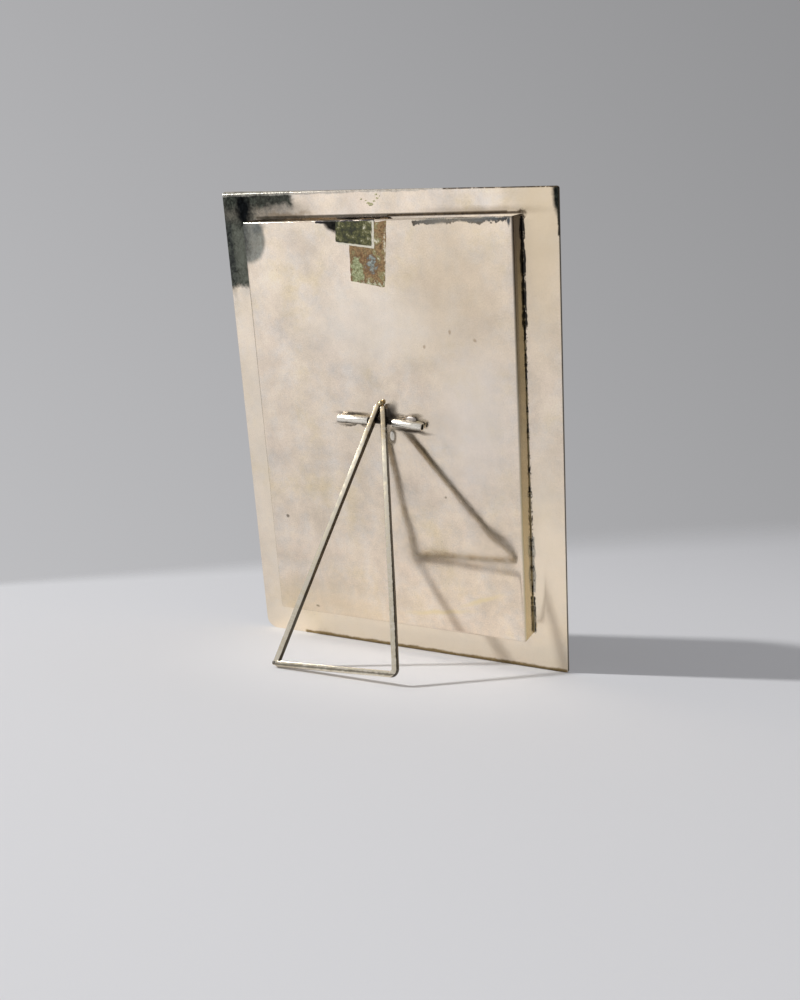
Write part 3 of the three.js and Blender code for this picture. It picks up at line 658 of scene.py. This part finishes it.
# painted shade: faces that look down are darkened
tubeUnderShade = add("VectorMath", {0: facing, 1: (0, 0.1, -0.99)}, operation="DOT_PRODUCT")
tubeUnderShade = add("Math", {0: smear, 1: 0.4, 2: tubeUnderShade}, operation="MULTIPLY_ADD")
tubeUnderShade = add("MapRange", {"Value": tubeUnderShade, "From": (0.75, 1.15)})
tubeTone = add("Mix", {0: tubeUnderShade, 6: tubeTone, 7: "#3B342A"}, data_type="RGBA")
drawWay = add("VectorMath", {0: place, 1: (1 / (12 * mm), 1 / (0.25 * mm), 1 / (0.25 * mm))}, operation="MULTIPLY")
draw = add("TexNoise", {"Vector": drawWay, "Scale": 1.0, "Detail": 2.0})
tubeBump = add("Bump", {"Height": draw, "Distance": 0.002 * mm})
tubeRough = add("MapRange", {"Value": smear, "From": (0.4, 0.7), "To": (0.24, 0.36)})
add("OutputMaterial", {"Surface": add("BsdfPrincipled", {
    "Base Color": tubeTone, "Metallic": 1.0, "Roughness": tubeRough, "Normal": tubeBump})})

# black flux crust, matt with a few glints; on the pin, the pin's solder and inside the tube bores its near-black also
# stands in as painted shade
fluxCrustAndShade = speckled("black flux crust and painted shade", grain=0.7, detail=4.0, dark="#0C0A08", pale="#3B3327",
    looks={"Metallic": 0.3, "Roughness": 0.55}, depth=0.1)
print("metals mixed")


# lumps and runs of solder: a ball or a bar pulled to size, then made uneven
def roughen(piece, rough, grain):
    modify(piece, "DISPLACE", texture=clouds(piece.name + "Lumps", grain * mm), strength=rough * mm, mid_level=0.5)
    smooth(piece, 180)


def bead(name, at, size, rough, grain):
    bpy.ops.mesh.primitive_ico_sphere_add(subdivisions=4, radius=1)
    piece = begin(name)
    bpy.ops.object.mode_set(mode="EDIT")
    bpy.ops.mesh.select_all(action="SELECT")
    bpy.ops.transform.resize(value=[s * mm for s in size])
    bpy.ops.transform.translate(value=[p * mm for p in at])
    bpy.ops.object.mode_set(mode="OBJECT")
    roughen(piece, rough, grain)
    return piece


# the pan's seams
seamPlan = {
    "runs": {"left": ((53.5, 0.22, 14.8), (53.5, 0.22, 167.6)), "right": ((-53.5, 0.22, 14.8), (-53.5, 0.22, 167.6)),
             "bottom": ((-52, 0.25, 13.75), (52, 0.25, 13.75))},
    "radius": 0.17, "rough": 0.22, "grain": 2.2, "step": 0.7,
}


def solderRun(name, start, end):
    along = end - start
    bpy.ops.mesh.primitive_cylinder_add(vertices=12, radius=seamPlan["radius"] * mm, depth=along.length * mm)
    piece = begin(name)
    bpy.ops.object.mode_set(mode="EDIT")
    steps = int(along.length / seamPlan["step"])
    for i in range(1, steps):
        cut((0, 0, (i / steps - 0.5) * along.length * mm), (0, 0, 1))
    bpy.ops.object.mode_set(mode="OBJECT")
    piece.rotation_euler = along.to_track_quat("Z", "Y").to_euler()
    piece.location = (start + end) / 2 * mm
    applyPlace(piece)
    roughen(piece, seamPlan["rough"], seamPlan["grain"])
    return piece


for side, (start, end) in seamPlan["runs"].items():
    seam = solderRun("seam_" + side, Vector(start), Vector(end))
    leanOn(seam)
    give(seam, seamSolder, "frame", "solder", "seam_solder_" + side)
print("seams soldered")

# hinge: two short tubes on the pan with a pin through both, set on a little crooked
hingePlan = {
    "inner": 5 * mm, "outer": 17.8 * mm, "radius": 1.6 * mm, "bore": 1.1 * mm, "lip": 0.12 * mm, "up": 96 * mm,
    "out": 10.3 * mm, "droopLeft": math.radians(-1.3), "droopRight": math.radians(-4.7), "rightShare": 0.92,
    "stagger": 0.11 * mm, "pinRadius": 0.8 * mm, "pinEnds": (-7.5 * mm, 15.6 * mm), "pinEdge": 0.2 * mm,
}
tubeLong = hingePlan["outer"] - hingePlan["inner"]
bpy.ops.mesh.primitive_cylinder_add(vertices=40, radius=hingePlan["radius"], depth=tubeLong,
    rotation=(0, math.pi / 2, 0))
tube = begin("hingeTubeLeft")
applyPlace(tube)
bpy.ops.object.mode_set(mode="EDIT")
pick(tube, "FACE", lambda c, f: abs(c.x) > tubeLong / 2 - 1e-5)
bpy.ops.mesh.inset(thickness=hingePlan["radius"] - hingePlan["bore"], use_individual=True)
bpy.ops.mesh.delete(type="ONLY_FACE")
pick(tube, "EDGE", lambda c, e: len(e.link_faces) == 1)
bpy.ops.mesh.bridge_edge_loops()
bpy.ops.mesh.select_all(action="SELECT")
bpy.ops.mesh.normals_make_consistent(inside=False)
bpy.ops.object.mode_set(mode="OBJECT")
modify(tube, "BEVEL", width=hingePlan["lip"], segments=2, limit_method="ANGLE", angle_limit=math.radians(50))
smooth(tube, 40)
bpy.ops.object.mode_set(mode="EDIT")
pick(tube, "FACE", lambda c, f: Vector((c.y, c.z)).length < hingePlan["bore"] + 0.03 * mm)  # the bore is painted black as the shade inside it
bpy.ops.object.mode_set(mode="OBJECT")
tube.data.materials.append(tubeMetal)
tube.data.materials.append(fluxCrustAndShade)
tube.active_material_index = 1
bpy.ops.object.mode_set(mode="EDIT")
bpy.ops.object.material_slot_assign()
bpy.ops.object.mode_set(mode="OBJECT")
otherTube = tube.copy()
otherTube.data = tube.data.copy()
otherTube.name = "hingeTubeRight"
bpy.context.scene.collection.objects.link(otherTube)
for oneTube, node, side, droop, share in (
        (tube, "hinge_tube_left", 1, hingePlan["droopLeft"], 1),
        (otherTube, "hinge_tube_right", -1, hingePlan["droopRight"], hingePlan["rightShare"])):
    oneTube.scale = (share, 1, 1)  # the right tube was cut a little shorter
    oneTube.location = (side * share * tubeLong / 2, 0, 0)
    applyPlace(oneTube)
    oneTube.rotation_euler = (0, droop, 0)  # each tube sags from its inner end
    oneTube.location = (side * hingePlan["inner"], hingePlan["out"], hingePlan["up"] + side * hingePlan["stagger"])
    applyPlace(oneTube)
    leanOn(oneTube)
    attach(oneTube, "frame")
    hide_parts(node)

pinFrom, pinTo = hingePlan["pinEnds"]
bpy.ops.mesh.primitive_cylinder_add(vertices=28, radius=hingePlan["pinRadius"], depth=pinTo - pinFrom,
    location=((pinFrom + pinTo) / 2, 0, 0), rotation=(0, math.pi / 2, 0))
pin = begin("hingePin")
applyPlace(pin)
modify(pin, "BEVEL", width=hingePlan["pinEdge"], segments=2, limit_method="ANGLE", angle_limit=math.radians(50))
smooth(pin, 40)
pin.rotation_euler = (0, hingePlan["droopLeft"], 0)
pin.location = (0, hingePlan["out"], hingePlan["up"])
applyPlace(pin)
leanOn(pin)
# the pin is painted near-black, as the shade between the stand's legs
give(pin, fluxCrustAndShade, "stand", "wire_metal", "hinge_pin")

for name, node, at, size in (
        ("tubeSolderLeft", "hinge_solder_left", (11.6, 8.7, 96.3), (6.0, 0.6, 1.3)),
        ("tubeSolderRight", "hinge_solder_right", (-11.4, 8.7, 95.4), (6.0, 0.6, 1.3))):
    fillet = bead(name, at, size, rough=0.35, grain=1.8)
    leanOn(fillet)
    give(fillet, seamSolder, "frame", "solder", node)
for name, at, size, material in (
        ("tubeLumpRight", (-11.6, 8.9, 97.1), (2.2, 0.7, 1.25), paleSolder),
        ("tubeSmearLeft", (12.0, 9.7, 97.6), (4.6, 0.5, 0.35), seamSolder),
        ("panDroplet", (-3.3, 8.35, 90.4), (0.9, 0.5, 2.0), tubeMetal)):
    lumpPiece = bead(name, at, size, rough=0.15, grain=1.2)
    leanOn(lumpPiece)
    give(lumpPiece, material, "frame", "solder")
print("hinge made")

# stand: two square wires, bent by hand, one leg and the foot in one piece and the other leg set against its end
standPlan = {
    "wire": 2.1, "edge": 0.3, "out": 2.35, "topLeft": (1.2, 5.5), "topRight": (-0.95, 5.0), "slant": 1.1,
    "footRight": (-27.2, -90.1), "leftEnd": (19.7, -93.9), "barEnd": (19.2, -93.2), "bend": 1.7, "bendSteps": 8,
    "leftRuns": 4, "bow": (0, 0.18, 0.1, -0.1, 0),  # how far the right leg strays inward along its length
}


def wireStart(name, at, along):
    bpy.ops.mesh.primitive_plane_add(size=standPlan["wire"] * mm)
    piece = begin(name)
    turn = math.atan2(along[0], -along[1])  # from straight down
    piece.rotation_euler = (math.pi, -turn, 0)
    piece.location = (at[0] * mm, standPlan["out"] * mm, at[1] * mm)
    applyPlace(piece)
    bpy.ops.object.mode_set(mode="EDIT")
    bpy.ops.mesh.select_all(action="SELECT")
    bpy.ops.mesh.delete(type="ONLY_FACE")
    bpy.ops.mesh.select_all(action="SELECT")
    return piece


def wireRun(move):
    bpy.ops.mesh.extrude_edges_move(TRANSFORM_OT_translate={"value": (move[0] * mm, 0, move[1] * mm)})


def wireEnd(piece):
    pick(piece, "EDGE", lambda c, e: len(e.link_faces) == 1)
    bpy.ops.mesh.edge_face_add()
    weld()
    bpy.ops.mesh.normals_make_consistent(inside=False)
    pick(piece, "VERT", lambda c, v: c.z > 4 * mm and c.y < standPlan["out"] * mm)  # the top is filed to lie on the pan
    bpy.ops.transform.translate(value=(0, 0, -standPlan["slant"] * mm))
    bpy.ops.object.mode_set(mode="OBJECT")
    modify(piece, "BEVEL", width=standPlan["edge"] * mm, segments=3, limit_method="ANGLE", angle_limit=math.radians(35))
    smooth(piece, 40)
    modify(piece, "WEIGHTED_NORMAL", keep_sharp=True, weight=100)
    swingOut(piece)


topRight = Vector(standPlan["topRight"])
footRight = Vector(standPlan["footRight"])
barEnd = Vector(standPlan["barEnd"])
legWay = (footRight - topRight).normalized()
barWay = (barEnd - footRight).normalized()
turnAngle = legWay.angle(barWay)
back = standPlan["bend"] * math.tan(turnAngle / 2)
bendStart = footRight - legWay * back
bendEnd = footRight + barWay * back
inward = Vector((-legWay.y, legWay.x))
centre = bendStart + inward * standPlan["bend"]
rightWire = wireStart("standWireRight", topRight, legWay)
bow = standPlan["bow"]
for before, after in zip(bow, bow[1:]):
    wireRun((bendStart - topRight) / (len(bow) - 1) + inward * (after - before))
bpy.ops.mesh.spin(steps=standPlan["bendSteps"], angle=turnAngle,
    center=(centre.x * mm, standPlan["out"] * mm, centre.y * mm), axis=(0, 1, 0))
wireRun(barEnd - bendEnd)
wireEnd(rightWire)
give(rightWire, wireMetal, "stand", "wire_metal", "stand_leg_right_and_foot")

topLeft = Vector(standPlan["topLeft"])
leftEnd = Vector(standPlan["leftEnd"])
leftWay = (leftEnd - topLeft).normalized()
leftWire = wireStart("standWireLeft", topLeft, leftWay)
for i in range(standPlan["leftRuns"]):
    wireRun((leftEnd - topLeft) / standPlan["leftRuns"])
wireEnd(leftWire)
give(leftWire, wireMetal, "stand", "wire_metal", "stand_leg_left")

for name, node, at, size, material, slot in (
        ("apexBead", "apex_braze", (0.25, 3.2, 6.0), (1.1, 0.9, 0.95), brass, "braze"),
        ("footBead", "corner_solder", (20.0, 2.9, -92.9), (0.8, 0.7, 0.75), solder, "solder")):
    joint = bead(name, at, size, rough=0.35, grain=0.9)
    swingOut(joint)
    give(joint, material, "stand", slot, node)
print("stand bent")


# old tape: three scraps left on the pan, thin and brittle
tapePlan = {
    "thick": 0.07, "fray": 0.5, "grain": 1.6,
    "lower": {"corners": ((8.6, 166.2), (9.2, 147.0), (-4.3, 144.7), (-6.5, 167.9)), "out": 8.31},
    "backing": {"corners": ((13.5, 167.9), (13.3, 160.2), (-1.1, 158.3), (-1.7, 167.9)), "out": 8.39},
    "upper": {"corners": ((13.5, 167.9), (14.1, 160.9), (-0.1, 159.2), (-0.8, 167.9)), "out": 8.47},
    "stains": (((6.4, 150.2), (2.8, 5.8), "#788052", "#C2C49C"), ((0.2, 153.2), (2.3, 3.1), "#68736F", "#A9AEA4"),
               ((-5.6, 156), (0.9, 9), "#A08A60", "#E4DBC4"), ((-1.5, 146.0), (7, 0.8), "#8E9064", "#DAD4BC")),
}


def tapeScrap(name, plan):
    bpy.ops.mesh.primitive_plane_add(size=2)
    piece = begin(name)
    bpy.ops.object.mode_set(mode="EDIT")
    for corner, (x, v) in zip(((1, 1), (1, -1), (-1, -1), (-1, 1)), plan["corners"]):
        pick(piece, "VERT", lambda c, p: (c - Vector((*corner, 0))).length < 0.01)
        bpy.ops.transform.translate(value=(x * mm - corner[0], plan["out"] * mm - corner[1], v * mm))
    bpy.ops.mesh.select_all(action="SELECT")
    bpy.ops.mesh.subdivide(number_cuts=40)
    bpy.ops.mesh.flip_normals()  # away from the pan
    bpy.ops.object.mode_set(mode="OBJECT")
    for way in ("X", "Z"):
        modify(piece, "DISPLACE", texture=clouds(name + way, tapePlan["grain"] * mm), direction=way,
            strength=tapePlan["fray"] * mm, mid_level=0.5)
    modify(piece, "SOLIDIFY", thickness=tapePlan["thick"] * mm, offset=1)
    smooth(piece)
    leanOn(piece)
    return piece


# gummed paper gone brown: rust and tan with fine dark rims, one green and one blue-grey blotch, pale where it tore
lowerTape, add, place = newMaterial("stained gummed paper")
flat = flatDrawing(add, place)
sheet = add("VectorMath", {0: flat, 1: (1, 0, 1)}, operation="MULTIPLY")
blotch = add("TexNoise", {"Vector": sheet, "Scale": 1 / (3.2 * mm), "Detail": 5.0, "Roughness": 0.62})
tapeTone = add("ValToRGB", {"Fac": blotch})
setRamp(tapeTone, (0.33, "#4E361A"), (0.68, "#DED5BC"),
        (0.40, "#7C6038"), (0.46, "#A08258"), (0.50, "#6E5433"), (0.55, "#9C8A5E"), (0.60, "#857F52"))
stray = add("TexNoise", {"Vector": sheet, "Scale": 1 / (2.6 * mm), "Detail": 6.0, "Roughness": 0.65})
strayed = add("VectorMath", {0: stray.outputs["Color"], 1: (9 * mm, 0, 9 * mm), 2: sheet}, operation="MULTIPLY_ADD")
strayed = add("VectorMath", {0: strayed, 1: (4.5 * mm, 0, 4.5 * mm)}, operation="SUBTRACT")
patches = add("TexNoise", {"Vector": sheet, "Scale": 1 / (1.1 * mm), "Detail": 5.0, "Roughness": 0.7})
for at, half, colour, second in tapePlan["stains"]:
    gap = add("VectorMath", {0: strayed, 1: (at[0] * mm, 0, at[1] * mm)}, operation="SUBTRACT")
    gap = inEllipse(add, gap, half)
    rim = add("MapRange", {"Value": gap, "From": (1.3, 1.06), "To Max": 0.7})
    tapeTone = add("Mix", {0: rim, 6: tapeTone, 7: "#6A4524"}, data_type="RGBA")
    within = add("MapRange", {"Value": gap, "From": (1.02, 0.7)})
    broken = add("MapRange", {"Value": patches, "From": (0.36, 0.46), "To Min": 0.25})
    within = add("Math", {0: within, 1: broken}, operation="MULTIPLY")
    faded = add("MapRange", {"Value": patches, "From": (0.42, 0.66)})
    stain = add("Mix", {0: faded, 6: colour, 7: second}, data_type="RGBA")
    tapeTone = add("Mix", {0: within, 6: tapeTone, 7: stain}, data_type="RGBA")
crumb = add("TexNoise", {"Vector": place, "Scale": 1 / (0.6 * mm), "Detail": 3.0})
crumbTone = add("MapRange", {"Value": crumb, "From": (0.3, 0.7), "To": (0.75, 1.15)})
tapeTone = add("VectorMath", {0: tapeTone, "Scale": crumbTone}, operation="SCALE")
tapeBump = add("Bump", {"Height": crumb, "Distance": 0.08 * mm})
add("OutputMaterial", {"Surface": add("BsdfPrincipled", {
    "Base Color": tapeTone, "Roughness": 0.6, "IOR": 1.5, "Normal": tapeBump})})

# bare paper backing: cream, fibrous
backingPaper = speckled("torn cream paper", grain=0.5, detail=4.0, dark="#B9B19A", pale="#EFEADB",
    looks={"Roughness": 0.8, "IOR": 1.5})

# cloth tape: dark olive weave with dried glue showing through in pale crumbs
upperTape, add, place = newMaterial("olive cloth tape")
worn = add("TexNoise", {"Vector": place, "Scale": 1 / (1.7 * mm), "Detail": 7.0, "Roughness": 0.74})
thread = add("TexVoronoi", {"Vector": place, "Scale": 1 / (0.45 * mm)})
across = add("SeparateXYZ", {0: place})
frayed = add("MapRange", {"Value": across.outputs["X"], "From": (6 * mm, -0.5 * mm), "To Max": 0.1})
worn = add("Math", {0: worn, 1: frayed}, operation="ADD")  # more so at one end
oliveTone = add("ValToRGB", {"Fac": worn})
setRamp(oliveTone, (0.36, "#181A0B"), (0.70, "#CFCBB6"),
        (0.45, "#303215"), (0.54, "#4B4B22"), (0.61, "#6F6C45"))
weave = add("MapRange", {"Value": thread, "From Max": 0.8, "To": (0.8, 1.2)})
oliveTone = add("VectorMath", {0: oliveTone, "Scale": weave}, operation="SCALE")
clothBump = add("Bump", {"Height": thread, "Distance": 0.08 * mm})
add("OutputMaterial", {"Surface": add("BsdfPrincipled", {
    "Base Color": oliveTone, "Roughness": 0.65, "IOR": 1.5, "Normal": clothBump})})

for name, part, material in (
        ("tapeLower", "lower", lowerTape), ("tapeBacking", "backing", backingPaper), ("tapeUpper", "upper", upperTape)):
    give(tapeScrap(name, tapePlan[part]), material, "frame", "print_paper")

# crumbs of dried glue on the plate's top border
gluePlan = {
    "crumbs": ((7.2, 174.7, 0.45), (4.5, 173.3, 0.7), (3.4, 172.8, 0.95), (1.1, 176.2, 0.5),
               (0.8, 174.9, 0.5), (2.1, 173.9, 0.55), (5.4, 174.2, 0.35), (-0.2, 175.6, 0.3)),  # across, up and size
    "out": 0.02, "high": 0.09, "narrow": 0.6,
}
glue = speckled("dried yellow glue", grain=0.7, detail=3.0, dark="#8A8652", pale="#DAD5AE",
    looks={"Roughness": 0.45, "IOR": 1.5})
for i, (x, v, size) in enumerate(gluePlan["crumbs"]):
    narrow = size * gluePlan["narrow"]
    crumbPiece = bead("glueCrumb%d" % (i + 1), (x, gluePlan["out"], v), (size, gluePlan["high"], narrow), narrow, size)
    leanOn(crumbPiece)
    give(crumbPiece, glue, "frame", "print_paper")
print("tape and glue laid on")

# window glass: clear, with a film of dust and finger grease that dulls its shine in places
glass, add, place = newMaterial("window glass")
film = add("TexNoise", {"Vector": place, "Scale": 1 / (22 * mm), "Detail": 4.0, "Roughness": 0.6})
filmRough = add("MapRange", {"Value": film, "From": (0.4, 0.75), "To": (0.01, 0.09)})
filmTone = add("Mix", {0: film, 6: "#FDFEFE", 7: "#FEFFFF"}, data_type="RGBA")
through = add("BsdfTransparent", {"Color": filmTone})
shine = add("BsdfGlossy", {"Color": "#FFFFFF", "Roughness": filmRough})
edgeOn = add("LayerWeight", {"Blend": 0.5})  # straight on a pane throws back 4% and edge on all of it
edgeOn = add("Math", {0: edgeOn.outputs["Facing"], 1: 5.0}, operation="POWER")
edgeOn = add("Math", {0: edgeOn, 1: 0.96, 2: 0.04}, operation="MULTIPLY_ADD")
pane = add("MixShader", {0: edgeOn, 1: through, 2: shine})
add("OutputMaterial", {"Surface": pane})

# photographic paper, blank: warm white, satin, yellowed unevenly and more towards its edges
printPaper, add, place = newMaterial("blank photographic paper")
flat = flatDrawing(add, place)
middle = add("VectorMath", {0: flat, 1: (0, 0, 91 * mm)}, operation="SUBTRACT")
edgeWay = add("VectorMath", {0: middle, 1: (1 / (51 * mm), 0, 1 / (76 * mm))}, operation="MULTIPLY")
edgeWay = add("VectorMath", {0: edgeWay}, operation="LENGTH")
age = add("TexNoise", {"Vector": place, "Scale": 1 / (18 * mm), "Detail": 5.0, "Roughness": 0.6})
aged = add("Math", {0: age, 1: 0.9, 2: edgeWay}, operation="MULTIPLY_ADD")
aged = add("MapRange", {"Value": aged, "From": (0.7, 1.7)})
printTone = add("Mix", {0: aged, 6: "#F3F0E8", 7: "#E3D8C0"}, data_type="RGBA")
grainNoise = add("TexNoise", {"Vector": place, "Scale": 1 / (0.35 * mm), "Detail": 2.0})
printBump = add("Bump", {"Height": grainNoise, "Distance": 0.01 * mm})
add("OutputMaterial", {"Surface": add("BsdfPrincipled", {
    "Base Color": printTone, "Roughness": 0.38, "IOR": 1.5, "Normal": printBump})})

# grey board: pressed waste paper, matt, flecked with darker and lighter fibres about 2 mm long
greyBoard, add, place = newMaterial("grey fibre board")
fibreWay = add("VectorMath", {0: place, 1: (1 / (2.0 * mm), 1 / (0.4 * mm), 1 / (0.3 * mm))}, operation="MULTIPLY")
fleck = add("TexNoise", {"Vector": fibreWay, "Scale": 1.0, "Detail": 4.0, "Distortion": 1.5})
boardTone = add("ValToRGB", {"Fac": fleck})
setRamp(boardTone, (0.3, "#4B463D"), (0.7, "#8D877A"))
boardBump = add("Bump", {"Height": fleck, "Distance": 0.06 * mm})
add("OutputMaterial", {"Surface": add("BsdfPrincipled", {
    "Base Color": boardTone, "Roughness": 0.9, "IOR": 1.5, "Normal": boardBump})})

# the pin's solder is painted near-black, as the shade between the stand's legs
for name, material in (("glass_pane", glass), ("photo_print", printPaper), ("backing_board", greyBoard),
                       ("pin_solder_left", fluxCrustAndShade), ("pin_solder_right", fluxCrustAndShade)):
    nodes[name].data.materials.clear()
    nodes[name].data.materials.append(material)
print("glass, print and board finished")
